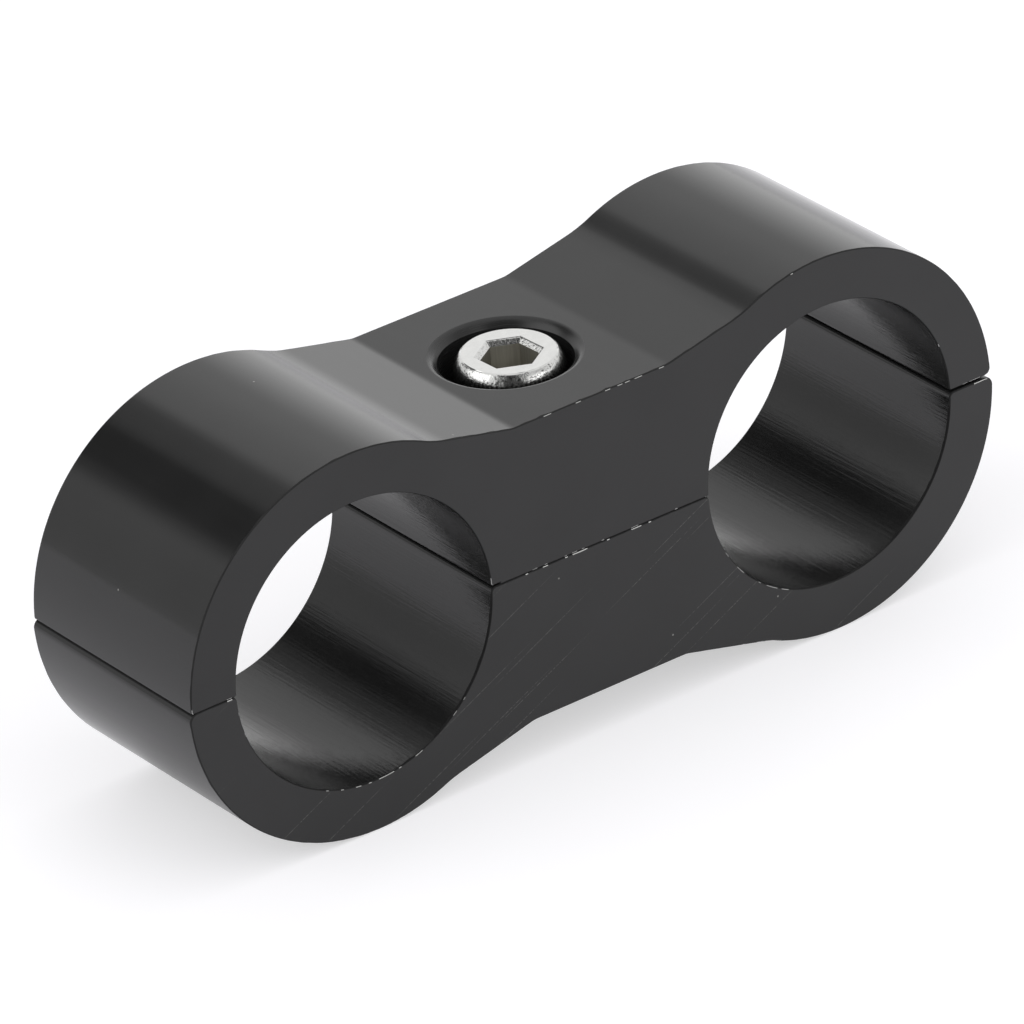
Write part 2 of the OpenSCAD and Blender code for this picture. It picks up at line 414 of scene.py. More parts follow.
# The order gives each finish its number on the faces of a half
BLACK_FINISHES = [black_extruded, black_sawn, black_bore, black_turned, black_filed, bare_metal]
SAWN, BORE, TURNED, FILED, BARE = range(1, len(BLACK_FINISHES))
print("finishes:", ", ".join(finish.name for finish in BLACK_FINISHES))

# %% [markdown]
# Bright plated steel. A thin bright metal layer over a turned and rolled screw: a clear
# mirror that is broken by the fine rings of the turning tool on the end of the head. The
# rings are a noise that reads only the distance from the screw's axis. Below the end face,
# on the shoulder and the socket's bevel, the plating lies over the rough skin of the forged
# blank: its peel scatters the light into white flecks, and its pits get a painted shade, a
# darker plating colour at the low points of the peel.

# %% Bright plated steel
TURNING_FEED = 0.07
TURNING_RELIEF = 0.002
BLOOM_SIZE = 0.35
# How much of the relief is the bloom of the plating. The rest is the rings
BLOOM_PART = 0.4
PUNCH_LINE_SPACING = 0.12
PUNCH_LINE_LENGTH = 20
# The peel begins just under the end of the head and is full this much lower
PEEL_TOP = 7.88
PEEL_FADE = 0.03
PEEL_SIZE = 0.12
PEEL_RELIEF = 0.016
# The painted shade of a pit begins where the peel's noise falls under the first value, at the
# peel's low points, and is full at the second
PIT_RANGE = (0.44, 0.37)
PIT_SHADE = 0.8

plated = new_material("bright_plated_steel")
plate_tree = plated.node_tree
plate_place = add_node(plate_tree, "ShaderNodeTexCoord").outputs["Object"]
across = add_node(plate_tree, "ShaderNodeVectorMath", {0: plate_place, 1: (1, 1, 0)},
                  operation="MULTIPLY")
radius = add_node(plate_tree, "ShaderNodeVectorMath", {0: across.outputs[0]}, operation="LENGTH")
rings = add_node(plate_tree, "ShaderNodeTexNoise", {
    "W": radius.outputs["Value"], "Scale": 1 / (TURNING_FEED * MM), "Detail": 2.0},
    noise_dimensions="1D")
bloom = add_node(plate_tree, "ShaderNodeTexNoise", {
    "Vector": plate_place, "Scale": 1 / (BLOOM_SIZE * MM), "Detail": 4.0,
    "Roughness": 0.65})
plate_colour = add_node(plate_tree, "ShaderNodeMix", {
    0: bloom.outputs["Fac"], 6: linear("e2e2e0"), 7: linear("f0f0ee")}, data_type="RGBA")
plate_dullness = add_node(plate_tree, "ShaderNodeMapRange", {
    "Value": bloom.outputs["Fac"], "From Min": NOISE_RANGE[0], "From Max": NOISE_RANGE[1],
    "To Min": 0.09, "To Max": 0.16})
plate_relief = add_node(plate_tree, "ShaderNodeMix", {
    0: BLOOM_PART, 2: rings.outputs["Fac"], 3: bloom.outputs["Fac"]}, data_type="FLOAT")
plate_bump = add_node(plate_tree, "ShaderNodeBump", {
    "Strength": 1.0, "Distance": TURNING_RELIEF * MM, "Height": plate_relief.outputs[0]})
peel = add_node(plate_tree, "ShaderNodeTexNoise", {
    "Vector": plate_place, "Scale": 1 / (PEEL_SIZE * MM), "Detail": 3.0, "Roughness": 0.65})
plate_height = add_node(plate_tree, "ShaderNodeSeparateXYZ", {0: plate_place})
off_end = add_node(plate_tree, "ShaderNodeMapRange", {
    "Value": plate_height.outputs[2], "From Min": PEEL_TOP * MM,
    "From Max": (PEEL_TOP - PEEL_FADE) * MM})
peel_height = add_node(plate_tree, "ShaderNodeMath", {
    0: peel.outputs["Fac"], 1: off_end.outputs[0]}, operation="MULTIPLY")
# Painted shade: the plating's colour is darkened at the low points of the peel, its pits
painted_pit_shade = add_node(plate_tree, "ShaderNodeMapRange", {
    "Value": peel.outputs["Fac"], "From Min": PIT_RANGE[0], "From Max": PIT_RANGE[1],
    "To Max": PIT_SHADE})
pit_shade_below_end = add_node(plate_tree, "ShaderNodeMath", {0: painted_pit_shade.outputs[0], 1: off_end.outputs[0]},
                  operation="MULTIPLY")
colour_with_pit_shade = add_node(plate_tree, "ShaderNodeMix", {
    0: pit_shade_below_end.outputs[0], 6: plate_colour.outputs[2], 7: linear("585856")}, data_type="RGBA")
peel_bump = add_node(plate_tree, "ShaderNodeBump", {
    "Strength": 1.0, "Distance": PEEL_RELIEF * MM, "Height": peel_height.outputs[0],
    "Normal": plate_bump.outputs[0]})
plate_skin = add_node(plate_tree, "ShaderNodeBsdfPrincipled", {
    "Base Color": colour_with_pit_shade.outputs[2], "Metallic": 1.0,
    "Roughness": plate_dullness.outputs[0], "Normal": peel_bump.outputs[0]})
add_node(plate_tree, "ShaderNodeOutputMaterial", {0: plate_skin.outputs[0]})

# The socket's walls and floor are duller than the head, and their plating is painted greyer: a
# painted shade for the inside of the recess
socket_plating_painted_shade = new_material("dull_plated_steel_socket_painted_shade")
dull_place = add_node(socket_plating_painted_shade.node_tree, "ShaderNodeTexCoord").outputs["Object"]
drawn = add_node(socket_plating_painted_shade.node_tree, "ShaderNodeMapping", {
    "Vector": dull_place, "Scale": (1, 1, PUNCH_LINE_LENGTH)}, vector_type="TEXTURE")
punch_lines = add_node(socket_plating_painted_shade.node_tree, "ShaderNodeTexNoise", {
    "Vector": drawn.outputs[0], "Scale": 1 / (PUNCH_LINE_SPACING * MM), "Detail": 3.0})
punch_lines_and_shade_colour = add_node(socket_plating_painted_shade.node_tree, "ShaderNodeMix", {
    0: punch_lines.outputs["Fac"], 6: linear("a9a7a0"), 7: linear("d4d2ca")}, data_type="RGBA")
dull_skin = add_node(socket_plating_painted_shade.node_tree, "ShaderNodeBsdfPrincipled", {
    "Base Color": punch_lines_and_shade_colour.outputs[2], "Metallic": 1.0, "Roughness": 0.45})
add_node(socket_plating_painted_shade.node_tree, "ShaderNodeOutputMaterial", {0: dull_skin.outputs[0]})

SCREW_FINISHES = [plated, socket_plating_painted_shade]
SOCKET_SHADE_FINISH = SCREW_FINISHES.index(socket_plating_painted_shade)
print("finishes:", ", ".join(finish.name for finish in SCREW_FINISHES))

# %% [markdown]
# Each half is one section drawn in the plane across the hoses and then pushed along them.
# The sizes below repeat those of the solids, in millimetres. X runs across the hoses, Y
# along them and Z up the screw, with the split at height zero.

# %% Sizes of the halves
BORE_R = 7.5
BORE_X = 14.1
CLAMP_LENGTH = 12.9
CREASE_X = 4.65
CREASE_R = 2.0
ARC_STEP = 0.15
# Vertices nearer than WELD are one, and sizes nearer than NEAR count as the same
WELD = 0.001
NEAR = 0.01

# The saw left a shallow step beside the left bore, this wide
LAND_STEP = 0.4

# Sizes in which the two halves differ. dip is how far the line of a ramp passes under the
# lobe's crown, and the last five belong to the edges at the split.
Half = namedtuple("Half", "lobe_r waist dip hollow_r left_edge_r right_edge_r bore_edge_r "
                  "foot_gap land_gap")
UPPER = Half(lobe_r=BORE_R + 2.62, waist=7.9, dip=0.39, hollow_r=7.0, left_edge_r=0.12,
             right_edge_r=0.36, bore_edge_r=0.14, foot_gap=0.15, land_gap=0.1)
LOWER = Half(lobe_r=BORE_R + 2.72, waist=8.0, dip=0.2, hollow_r=5.0, left_edge_r=0.45,
             right_edge_r=0.45, bore_edge_r=0.28, foot_gap=0, land_gap=0)

print("lobes: upper", UPPER.lobe_r, "lower", LOWER.lobe_r, "mm")

# %% [markdown]
# The section could be typed as a long list of points. It is drawn instead as a draughtsman
# would: one vertex is dragged along straight lines and swung round centres, and leaves
# edges behind it. Extruding a vertex draws a line, and spinning it draws an arc.

# %% A pen for the section


def draw_line(bm, start, end):
    """Drags the vertex to end in even steps and returns the last copy of it."""
    start_co, tip = start.co.copy(), start
    steps = max(1, math.ceil((end - start_co).length / ARC_STEP))
    for i in range(steps):
        tip = bmesh.ops.extrude_vert_indiv(bm, verts=[tip])["verts"][0]
        tip.co = start_co.lerp(end, (i + 1) / steps)
    return tip


def draw_arc(bm, start, centre, end):
    """Swings the vertex the short way round centre to end, in the section's plane."""
    near, far = start.co - centre, end - centre
    swing = math.atan2(near.x * far.z - near.z * far.x, near.x * far.x + near.z * far.z)
    steps = max(10, math.ceil(near.length * abs(swing) / ARC_STEP))
    swept = bmesh.ops.spin(bm, geom=[start], cent=centre, axis=(0, -1, 0), angle=swing,
                           steps=steps, use_duplicate=False)
    tip = [v for v in swept["geom_last"] if isinstance(v, bmesh.types.BMVert)][0]
    assert (tip.co - end).length < NEAR, "the arc misses its end"
    tip.co = end
    return tip


print("arc step:", ARC_STEP, "mm")

# %% [markdown]
# One side of the section, from the crease at the waist out over the lobe, round the foot of
# the wall, over the bore and back to the split. The ramp leaves the crease on a line that
# would graze the lobe, and a hollow as from a round tool joins the two. The crease itself
# is slightly rounded too, as extrusion dies wear, so its line looks soft. The feet and the
# bore's edges are rounded where the halves meet, so that the hose isn't cut.

# %% One side of the section


def hollow_joint(half):
    """Centre of the hollow, the ramp's end and the lobe's start, from the bore's axis."""
    crease = Vector((CREASE_X - BORE_X, half.waist))
    slope = math.asin((half.lobe_r - half.dip) / crease.length) - math.atan2(
        half.waist, BORE_X - CREASE_X)
    along = Vector((math.cos(slope), math.sin(slope)))
    above = Vector((-along.y, along.x))
    start = crease + half.hollow_r * above
    half_b = start.dot(along)
    reach = half.lobe_r + half.hollow_r
    centre = start + (-half_b - math.sqrt(half_b ** 2 - start.dot(start) + reach ** 2)) * along
    return centre, centre - half.hollow_r * above, centre * half.lobe_r / reach


def rounded_edge(wall_r, centre_r, edge_r, foot_z, side):
    """Centre of an edge's rounding, where it touches the wall, and where the foot."""
    centre = Vector((side * math.sqrt(centre_r ** 2 - (foot_z + edge_r) ** 2), foot_z + edge_r))
    return centre, centre * wall_r / centre_r, Vector((centre.x, foot_z))


def draw_side(bm, half, side):
    """Draws the right (1) or left (-1) side of a section. Returns its first and last vertex."""
    def place(point):
        return Vector((side * (BORE_X + point.x), 0, point.y))

    foot_z, edge_r, land_z = ((half.foot_gap, half.right_edge_r, 0) if side > 0
                              else (0, half.left_edge_r, half.land_gap))
    bore_edge = half.bore_edge_r
    axis = place(Vector((0, 0)))
    hollow, ramp_end, lobe_start = hollow_joint(half)
    outer = rounded_edge(half.lobe_r, half.lobe_r - edge_r, edge_r, foot_z, 1)
    foot = rounded_edge(BORE_R, BORE_R + bore_edge, bore_edge, foot_z, 1)
    land = rounded_edge(BORE_R, BORE_R + bore_edge, bore_edge, land_z, -1)
    crease = Vector((CREASE_X - BORE_X, half.waist))
    rise = (ramp_end - crease).normalized()
    setback = CREASE_R * math.tan(math.atan2(rise.y, rise.x) / 2)
    flat_end = crease - Vector((setback, 0))
    first = bm.verts.new(place(flat_end))
    pen = draw_arc(bm, first, place(flat_end + Vector((0, CREASE_R))),
                   place(crease + rise * setback))
    pen = draw_line(bm, pen, place(ramp_end))
    pen = draw_arc(bm, pen, place(hollow), place(lobe_start))
    pen = draw_arc(bm, pen, axis, place(outer[1]))
    pen = draw_arc(bm, pen, place(outer[0]), place(outer[2]))
    pen = draw_line(bm, pen, place(foot[2]))
    pen = draw_arc(bm, pen, place(foot[0]), place(foot[1]))
    pen = draw_arc(bm, pen, axis, place(land[1]))
    pen = draw_arc(bm, pen, place(land[0]), place(land[2]))
    if land_z > 0:
        step_end = land[2] - Vector((LAND_STEP, 0))
        pen = draw_line(bm, pen, place(step_end))
        pen = draw_line(bm, pen, place(Vector((step_end.x, 0))))
    return first, pen


ramp_end, lobe_start = hollow_joint(UPPER)[1:]
print("upper ramp ends", round(ramp_end.x, 2), "and the lobe starts", round(lobe_start.x, 2),
      "mm from the bore's axis")

# %% [markdown]
# The outline is filled with one face and pushed along the hoses. The sharp edges of the
# two cut faces were barely broken with a file. That leaves a slope about 0.1 mm wide which
# wanders, bites deeper in places and has small nicks from handling. The cut face is inset
# twice for it, and then the edge's vertices are pushed about by a noise: bumps in the
# shading alone wouldn't change the edge's line against the light floor. The cut face inside
# the slope is laid flat again and cut into triangles, because a face with hundreds of
# corners could be split into slivers that shade badly.

# %% From section to blank
# Width and rise of each step of the filed edge, from the outside in
EDGE_STEPS = [(0.03, 0.045), (0.025, 0.015)]
EDGE_WANDER = 0.035
WANDER_LENGTH = 0.5
# Added to the noise, which is as often under zero as over it
WANDER_SHIFT = 0.3
BITE_DEPTH = 0.14
BITE_LENGTH = 0.9
BITE_START = 0.22
# Place of each nick in the front edges as x and z, its radius and its depth
NICKS = [(-2.9, 7.9, 0.3, 0.09), (-0.6, 7.9, 0.22, 0.07), (1.0, 7.9, 0.3, 0.1),
         (2.2, 7.9, 0.2, 0.06), (-21.9, -0.1, 0.5, 0.12), (23.6, -0.2, 0.35, 0.1)]
# Metal is bare where a noise of this length, shaken a little from face to face, passes a
# level. Each worn place has its x and z, its radius and its own level
FLECK_LENGTH = 0.33
FLECK_SHAKE = 0.25
WORN_PLACES = [(1.0, 7.9, 4.0, 0.24), (0, 0, 6.6, 0.27), (-12.5, -7.4, 4.5, 0.18),
               (9.5, -6.2, 3.5, 0.16), (-22.8, 0, 1.6, 0.3), (22.6, 0, 1.4, 0.2),
               (-6.2, 8.4, 1.0, 0.26)]
RARE_LEVEL = 0.72
# The lip of a bore is worn deeper on its lower right, between these angles
LIP_LOW, LIP_HIGH = -62, -6
LIP_LOSS = 0.07
# SPLIT_WEAR widens the filed slope within SPLIT_REACH of the split, where the saw tore both
# halves, and SPLIT_SHIFT is added to its noise
SPLIT_WEAR = 0.03
SPLIT_REACH = 0.3
SPLIT_SHIFT = 0.6
flecks = random.Random(11)


def is_bare(place):
    """Says whether the oxide has chipped off the filed slope at a place."""
    level = min((level for x, z, size, level in WORN_PLACES
                 if math.hypot(place.x - x, place.z - z) < size), default=RARE_LEVEL)
    shake = FLECK_SHAKE * (flecks.random() - 0.5)
    return noise.noise(place / FLECK_LENGTH) + shake > level


def half_blank(half):
    """A half without its hole, split at the bottom."""
    bm = bmesh.new()
    right_first, right_last = draw_side(bm, half, 1)
    left_first, left_last = draw_side(bm, half, -1)
    draw_line(bm, right_first, left_first.co)
    draw_line(bm, right_last, left_last.co)
    bmesh.ops.remove_doubles(bm, verts=bm.verts[:], dist=WELD)
    section = bmesh.ops.edgeloop_fill(bm, edges=bm.edges[:])["faces"]
    rolled = sum(rise for _, rise in EDGE_STEPS)
    bmesh.ops.translate(bm, vec=(0, rolled - CLAMP_LENGTH / 2, 0), verts=bm.verts[:])
    pushed = bmesh.ops.extrude_face_region(bm, geom=section)["geom"]
    bmesh.ops.translate(bm, vec=(0, CLAMP_LENGTH - 2 * rolled, 0),
                        verts=[v for v in pushed if isinstance(v, bmesh.types.BMVert)])
    bmesh.ops.recalc_face_normals(bm, faces=bm.faces[:])
    return bm


def break_edges(bm):
    """Files the edges of both cut faces and gives the cut faces their own finish."""
    for cut_face in [f for f in bm.faces if abs(f.normal.y) > 0.99]:
        cut_face.material_index = SAWN
        start_y, slope = abs(cut_face.verts[0].co.y), []
        for width, rise in EDGE_STEPS:
            ring = bmesh.ops.inset_region(bm, faces=[cut_face], thickness=width, depth=rise,
                                          use_even_offset=True)["faces"]
            for face in ring:
                face.material_index = FILED
            slope += ring
        # The oxide chips off the inner step of the slope alone
        for face in ring:
            if is_bare(face.calc_center_median()):
                face.material_index = BARE
        rim = {v for face in slope for v in face.verts if abs(v.co.y) < start_y + WELD}
        inwards = -math.copysign(1, cut_face.normal.y)
        for v in cut_face.verts:
            v.co.y = -inwards * CLAMP_LENGTH / 2
        for v in rim:
            v.co.y += inwards * edge_loss(v.co)
        for v in cut_face.verts:
            nearness = max(0, 1 - abs(v.co.z) / SPLIT_REACH)
            v.co.z += math.copysign(SPLIT_WEAR * nearness, v.co.z) * (
                noise.noise(v.co / WANDER_LENGTH) + SPLIT_SHIFT)
        for edge in cut_face.edges:
            edge.smooth = False
        bmesh.ops.triangulate(bm, faces=[cut_face], ngon_method="BEAUTY")


def edge_loss(place):
    """How much further than usual the filed slope reaches along the hoses at a place."""
    wander = EDGE_WANDER * (noise.noise(place / WANDER_LENGTH) + WANDER_SHIFT)
    bite = BITE_DEPTH * max(0, noise.noise(place / BITE_LENGTH) - BITE_START)
    nick = sum(depth * max(0, 1 - math.hypot(place.x - x, place.z - z) / size)
               for x, z, size, depth in NICKS if place.y < 0)
    from_axis = Vector((place.x - math.copysign(BORE_X, place.x), place.z))
    angle = math.degrees(math.atan2(from_axis.y, from_axis.x))
    on_lip = from_axis.length < BORE_R + LOWER.bore_edge_r and LIP_LOW < angle < LIP_HIGH
    return max(0, wander) + bite + nick + (LIP_LOSS if on_lip and place.y < 0 else 0)


def bore_finish(bm):
    """Gives the walls of the bores their own finish."""
    for face in bm.faces:
        centre = face.calc_center_median()
        from_axis = math.hypot(abs(centre.x) - BORE_X, centre.z)
        if face.material_index == 0 and abs(from_axis - BORE_R) < NEAR:
            face.material_index = BORE


upper_bm = half_blank(UPPER)
bore_finish(upper_bm)
break_edges(upper_bm)
print("upper blank:", len(upper_bm.faces), "faces,", round(upper_bm.calc_volume(), 1), "mm3")

# %% [markdown]
# The holes are turned: a profile is spun once round the screw's axis. The flat that the
# hole breaks through is taken out first, and filled again between its border and the new
# rim. Filling works on whatever edges are open at that height.

# %% Turned holes
HOLE_STEPS = 96
COUNTERBORE_SHIFT = -0.2
SEAT_Z = 4.9
COUNTERBORE_R = 3.33
CLEARANCE_R = 1.8
BREAK = 0.12
# The rim's bevel was rubbed round at the flat and is crisp at the wall: its profile as
# widths beyond the counterbore's wall and depths under the flat
RIM_PROFILE = [(0.5, 0.0), (0.44, 0.012), (0.37, 0.04), (0.3, 0.08), (0.22, 0.14),
               (0.14, 0.215), (0.06, 0.3), (0.0, 0.37)]
UPPER_HOLE = [(COUNTERBORE_R + width, UPPER.waist - depth) for width, depth in RIM_PROFILE] + [
    (COUNTERBORE_R, SEAT_Z), (CLEARANCE_R + BREAK, SEAT_Z), (CLEARANCE_R, SEAT_Z - BREAK),
    (CLEARANCE_R, BREAK), (CLEARANCE_R + BREAK, 0)]


def open_flat(bm, height):
    """Takes out the flat between the bores at a height."""
    flat = [f for f in bm.faces if all(abs(v.co.z - height) < WELD / 5 for v in f.verts)
            and abs(f.calc_center_median().x) < BORE_X - BORE_R]
    bmesh.ops.delete(bm, geom=flat, context="FACES")


def open_edges(bm, height):
    """The open edges that lie at a height."""
    return [e for e in bm.edges if e.is_boundary
            and all(abs(v.co.z - height) < WELD / 2 for v in e.verts)]


def close_flat(bm, height):
    """Fills the plane between the open edges at a height, and keeps its border sharp."""
    border = open_edges(bm, height)
    for edge in border:
        edge.smooth = False
    bmesh.ops.triangle_fill(bm, use_beauty=True, use_dissolve=False, edges=border)


def turn(bm, profile, axis_x, steps):
    """Spins a profile of radius and height once round an upright axis."""
    points = [bm.verts.new((axis_x + r, 0, z)) for r, z in profile]
    lines = [bm.edges.new(pair) for pair in zip(points, points[1:])]
    bmesh.ops.spin(bm, geom=points + lines, cent=(axis_x, 0, 0), axis=(0, 0, 1),
                   angle=2 * math.pi, steps=steps, use_merge=True, use_duplicate=False)


def join(bm, other):
    """Adds another mesh to this one."""
    carrier = bpy.data.meshes.new("carrier")
    other.to_mesh(carrier)
    other.free()
    bm.from_mesh(carrier)
    bpy.data.meshes.remove(carrier)


open_flat(upper_bm, UPPER.waist)
open_flat(upper_bm, 0)
hole_bm = bmesh.new()
turn(hole_bm, UPPER_HOLE, COUNTERBORE_SHIFT, HOLE_STEPS)
for face in hole_bm.faces:
    face.material_index = TURNED
join(upper_bm, hole_bm)
close_flat(upper_bm, UPPER.waist)
close_flat(upper_bm, 0)
print("upper half: open edges left", sum(e.is_boundary for e in upper_bm.edges))

# %% [markdown]
# A finished skin has its faces turned outwards and its sharp edges marked. An edge is
# sharp where the surface breaks, and also where a wide flat meets the first narrow strip
# of a curve, so that the flat is shaded flat. Then the mesh is brought from millimetres to
# metres, and the piece is told its finish, its body and the solid that it stands for.

# %% Finishing a piece
SHARP_ANGLE = math.radians(24)
WIDE_TO_NARROW = 5


def mark_sharp(bm):
    """Marks edges sharp by angle, and between wide and narrow faces."""
    for face in bm.faces:
        face.smooth = True
    for edge in bm.edges:
        areas = sorted(f.calc_area() for f in edge.link_faces)
        edge.smooth = (edge.smooth and edge.calc_face_angle(0) < SHARP_ANGLE
                       and areas[-1] < WIDE_TO_NARROW * areas[0])


def finish_piece(bm, name, node, finishes):
    """Makes the object of a piece that stands for a solid and rides on its body."""
    bmesh.ops.remove_doubles(bm, verts=bm.verts[:], dist=WELD / 2)
    bmesh.ops.recalc_face_normals(bm, faces=bm.faces[:])
    mark_sharp(bm)
    open_count = sum(not e.is_manifold for e in bm.edges)
    volume = bm.calc_volume(signed=True)
    bmesh.ops.scale(bm, vec=(MM, MM, MM), verts=bm.verts[:])
    mesh = bpy.data.meshes.new(name)
    bm.to_mesh(mesh)
    bm.free()
    piece = bpy.data.objects.new(name, mesh)
    scene.collection.objects.link(piece)
    for finish in finishes:
        mesh.materials.append(finish)
    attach(piece, node)
    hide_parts(node)
    print(name, "faces", len(mesh.polygons), "volume", round(volume, 1), "open", open_count)


finish_piece(upper_bm, "upper_half_skin", "upper_half", BLACK_FINISHES)

# %% [markdown]
# The screw and the tapped hole carry the same thread, of 0.5 mm pitch. One notch of it is
# spun many turns while it climbs, and neighbouring turns are welded where they meet. The
# hole's thread is the screw's with a little more radius, so the two run in each other
# when the screw turns and lifts. Both start from the same height, which keeps them in step.

# %% Thread
PITCH = 0.5
THREAD_R = 1.5
THREAD_ROOT_R = 1.23
THREAD_GAP = 0.03
THREAD_STEPS = 48
# Radius and height of one notch: root, flank, crest, flank
NOTCH = [(THREAD_ROOT_R, 0.0), (THREAD_ROOT_R, 0.125), (THREAD_R, 0.281), (THREAD_R, 0.344),
         (THREAD_ROOT_R, PITCH)]


def thread(low, high, gap):
    """A thread between two heights, open at both ends, gap larger in radius."""
    bm = bmesh.new()
    start = (math.floor(low / PITCH) - 1) * PITCH
    turns = math.ceil((high - start) / PITCH) + 1
    points = [bm.verts.new((r + gap, 0, start + z)) for r, z in NOTCH]
    lines = [bm.edges.new(pair) for pair in zip(points, points[1:])]
    bmesh.ops.spin(bm, geom=points + lines, cent=(0, 0, 0), axis=(0, 0, 1),
                   dvec=(0, 0, PITCH / THREAD_STEPS), angle=2 * math.pi * turns,
                   steps=THREAD_STEPS * turns, use_duplicate=False)
    bmesh.ops.remove_doubles(bm, verts=bm.verts[:], dist=WELD)
    for height, away in ((low, -1), (high, 1)):
        bmesh.ops.bisect_plane(bm, geom=bm.verts[:] + bm.edges[:] + bm.faces[:], dist=0.0001,
                               plane_co=(0, 0, height), plane_no=(0, 0, away), clear_outer=True)
    return bm


def flare(bm, height, radius, new_height):
    """Extrudes the open end at a height to a circle."""
    opened = bmesh.ops.extrude_edge_only(bm, edges=open_edges(bm, height))["geom"]
    for v in opened:
        if isinstance(v, bmesh.types.BMVert):
            v.co = (*(v.co.xy.normalized() * radius), new_height)


print("thread: pitch", PITCH, "mm, radius", THREAD_R, "mm")

# %% [markdown]
# The lower half is the same section turned over, with no gap under its feet. Its hole is
# tapped right through, and lightly countersunk at both ends as a tapped hole is.

# %% Lower half
COUNTERSINK = 0.2

lower_bm = half_blank(LOWER)
bore_finish(lower_bm)
bmesh.ops.scale(lower_bm, vec=(1, 1, -1), verts=lower_bm.verts[:])
bmesh.ops.recalc_face_normals(lower_bm, faces=lower_bm.faces[:])
break_edges(lower_bm)
open_flat(lower_bm, -LOWER.waist)
open_flat(lower_bm, 0)
tapped = thread(COUNTERSINK - LOWER.waist, -COUNTERSINK, THREAD_GAP)
flare(tapped, COUNTERSINK - LOWER.waist, THREAD_R + COUNTERSINK, -LOWER.waist)
flare(tapped, -COUNTERSINK, THREAD_R + COUNTERSINK, 0)
for face in tapped.faces:
    face.material_index = TURNED
join(lower_bm, tapped)
close_flat(lower_bm, -LOWER.waist)
close_flat(lower_bm, 0)
finish_piece(lower_bm, "lower_half_skin", "lower_half", BLACK_FINISHES)

# %% [markdown]
# The screw's head is turned with a rounded shoulder and then knurled. The knurl could be
# cut groove by groove. Here the turned head has four columns of faces for each ridge, and
# every fourth column line is pushed in to the bottom of its groove. The grooves run out by
# themselves on the shoulder, where the head is already slimmer than their bottom.

# %% Head of the screw
HEAD_R = 2.75
KNURL_COUNT = 72
KNURL_COLUMNS = 4
KNURL_BOTTOM_R = HEAD_R - 0.08
FLAT_R = 2.33
UNDERSIDE_R = 2.6
HEAD_TOP = UPPER.waist
# Radius and depth under the top, from the seat up over the rounded shoulder
HEAD_PROFILE = [(UNDERSIDE_R, HEAD_TOP - SEAT_Z), (HEAD_R, HEAD_TOP - SEAT_Z - 0.14),
                (HEAD_R, 0.72), (2.735, 0.64), (2.7, 0.52), (2.65, 0.4), (2.59, 0.28),
                (2.52, 0.17), (2.44, 0.08), (2.39, 0.035), (FLAT_R, 0.0)]
# The shoulder was struck by other screws in the box: shallow dents of this depth and length,
# over this height, where a noise is over zero when DENT_SHIFT is added
DENT_DEPTH = 0.018
DENT_LENGTH = 0.35
DENT_LOWEST = SEAT_Z + 0.2
DENT_SHIFT = 0.2

screw_bm = bmesh.new()
turn(screw_bm, [(r, HEAD_TOP - depth) for r, depth in HEAD_PROFILE], 0,
     KNURL_COUNT * KNURL_COLUMNS)
for v in screw_bm.verts:
    column = math.degrees(math.atan2(v.co.y, v.co.x)) / 360 * KNURL_COUNT
    out = v.co.xy.length
    if abs(column - round(column)) < NEAR and out > KNURL_BOTTOM_R:
        v.co.xy = v.co.xy * KNURL_BOTTOM_R / out
    elif FLAT_R + NEAR < out < HEAD_R and v.co.z > DENT_LOWEST:
        dent = DENT_DEPTH * max(0, noise.noise(v.co / DENT_LENGTH) + DENT_SHIFT)
        v.co.xy = v.co.xy * (out - dent) / out
        v.co.z -= dent / 2
print("head: columns", KNURL_COUNT * KNURL_COLUMNS)

# %% [markdown]
# The socket is a hexagon that was punched into the head. It starts from six vertices at
# its mouth, which are extruded down the bevel and down the walls, and its floor ends in
# the shallow cone that the drill left before the punch.

# %% Socket
SOCKET_AF = 2.5
SOCKET_DEPTH = 1.6
SOCKET_BEVEL = 0.25
# The punch struck a little off the middle
SOCKET_PLACE = (-0.06, -0.09, 0)
SOCKET_TURN = 33
DRILL_R = 1.1
DRILL_STEPS = 36
# Slope of the drill's cone in degrees, and the part of its radius that is left as a flat
DRILL_SLOPE = 30
DRILL_FLAT = 0.06
# Half the width of a hexagon over this is the radius of its corners
HEXAGON = math.cos(math.radians(30))


def draw_ring(bm, radius, height, steps, first_angle):
    """A ring of edges round the screw's axis."""
    turned = Matrix.Rotation(math.radians(first_angle), 3, "Z") @ Vector((radius, 0, height))
    first = bm.verts.new(turned)
    swept = bmesh.ops.spin(bm, geom=[first], cent=(0, 0, 0), axis=(0, 0, 1),
                           angle=2 * math.pi * (steps - 1) / steps, steps=steps - 1,
                           use_duplicate=False)
    last = [v for v in swept["geom_last"] if isinstance(v, bmesh.types.BMVert)][0]
    bm.edges.new((last, first))


def step_in(bm, edges, ratio, drop):
    """Extrudes a ring of edges, scaled about the screw's axis and moved down."""
    made = bmesh.ops.extrude_edge_only(bm, edges=edges)["geom"]
    verts = [v for v in made if isinstance(v, bmesh.types.BMVert)]
    bmesh.ops.scale(bm, vec=(ratio, ratio, 1), verts=verts)
    bmesh.ops.translate(bm, vec=(0, 0, -drop), verts=verts)
    return [e for e in made if isinstance(e, bmesh.types.BMEdge)]


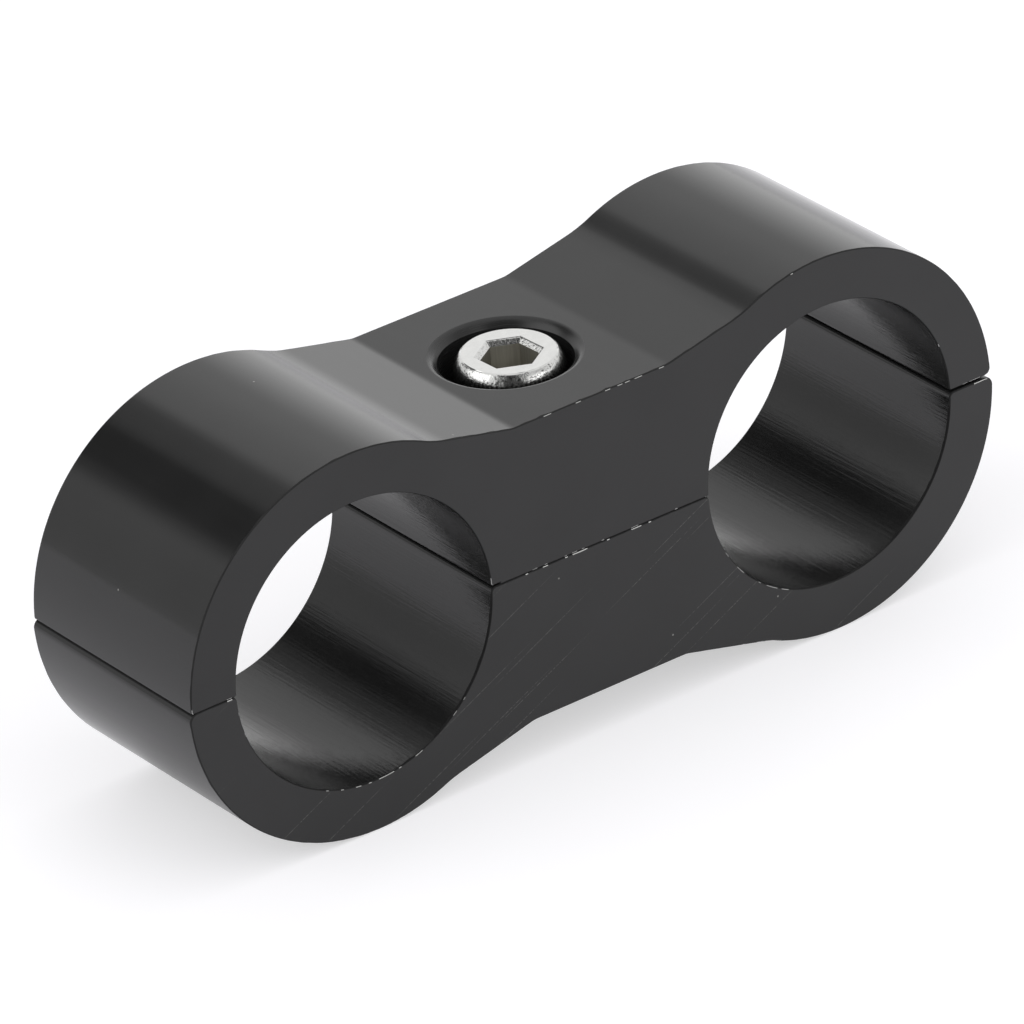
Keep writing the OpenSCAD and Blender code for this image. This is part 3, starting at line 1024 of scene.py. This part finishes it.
socket_r = SOCKET_AF / 2 / HEXAGON
mouth_r = (SOCKET_AF / 2 + SOCKET_BEVEL) / HEXAGON
socket_bm = bmesh.new()
draw_ring(socket_bm, mouth_r, HEAD_TOP, 6, SOCKET_TURN)
bevelled = step_in(socket_bm, socket_bm.edges[:], socket_r / mouth_r, SOCKET_BEVEL)
step_in(socket_bm, bevelled, 1, SOCKET_DEPTH - SOCKET_BEVEL)
drill_bm = bmesh.new()
draw_ring(drill_bm, DRILL_R, HEAD_TOP - SOCKET_DEPTH, DRILL_STEPS, 0)
point = step_in(drill_bm, drill_bm.edges[:], DRILL_FLAT,
                DRILL_R * math.tan(math.radians(DRILL_SLOPE)))
bmesh.ops.edgeloop_fill(drill_bm, edges=point)
join(socket_bm, drill_bm)
close_flat(socket_bm, HEAD_TOP - SOCKET_DEPTH)
# The walls and floor of the socket take the greyer plating, a painted shade for the recess
for face in socket_bm.faces:
    if face.calc_center_median().z < HEAD_TOP - SOCKET_BEVEL:
        face.material_index = SOCKET_SHADE_FINISH
bmesh.ops.translate(socket_bm, vec=SOCKET_PLACE, verts=socket_bm.verts[:])
join(screw_bm, socket_bm)
close_flat(screw_bm, HEAD_TOP)
print("socket:", SOCKET_AF, "mm across flats")

# %% [markdown]
# The shank is the thread with its tip turned to a cone. Towards the head the thread runs
# out: its root rises until it meets the seat of the head.

# %% Shank and the finished screw
TIP_Z = -7.1
TIP_BEVEL = 0.4
RUN_OUT = 0.9
NECK_R = 1.44

shank_bm = thread(TIP_Z, SEAT_Z, 0)
for v in shank_bm.verts:
    out = v.co.xy.length
    risen = max(0, (v.co.z - SEAT_Z + RUN_OUT) / RUN_OUT)
    least = THREAD_ROOT_R + (NECK_R - THREAD_ROOT_R) * risen
    most = THREAD_R - TIP_BEVEL + (v.co.z - TIP_Z)
    v.co.xy = v.co.xy * min(max(out, least), most) / out
bmesh.ops.edgeloop_fill(shank_bm, edges=open_edges(shank_bm, TIP_Z))
join(screw_bm, shank_bm)
close_flat(screw_bm, SEAT_Z)
finish_piece(screw_bm, "clamp_screw_skin", "clamp_screw", SCREW_FINISHES)

# %% [markdown]
# Last, the view settings stay plain.

# %% The end
scene.view_settings.view_transform = "Standard"
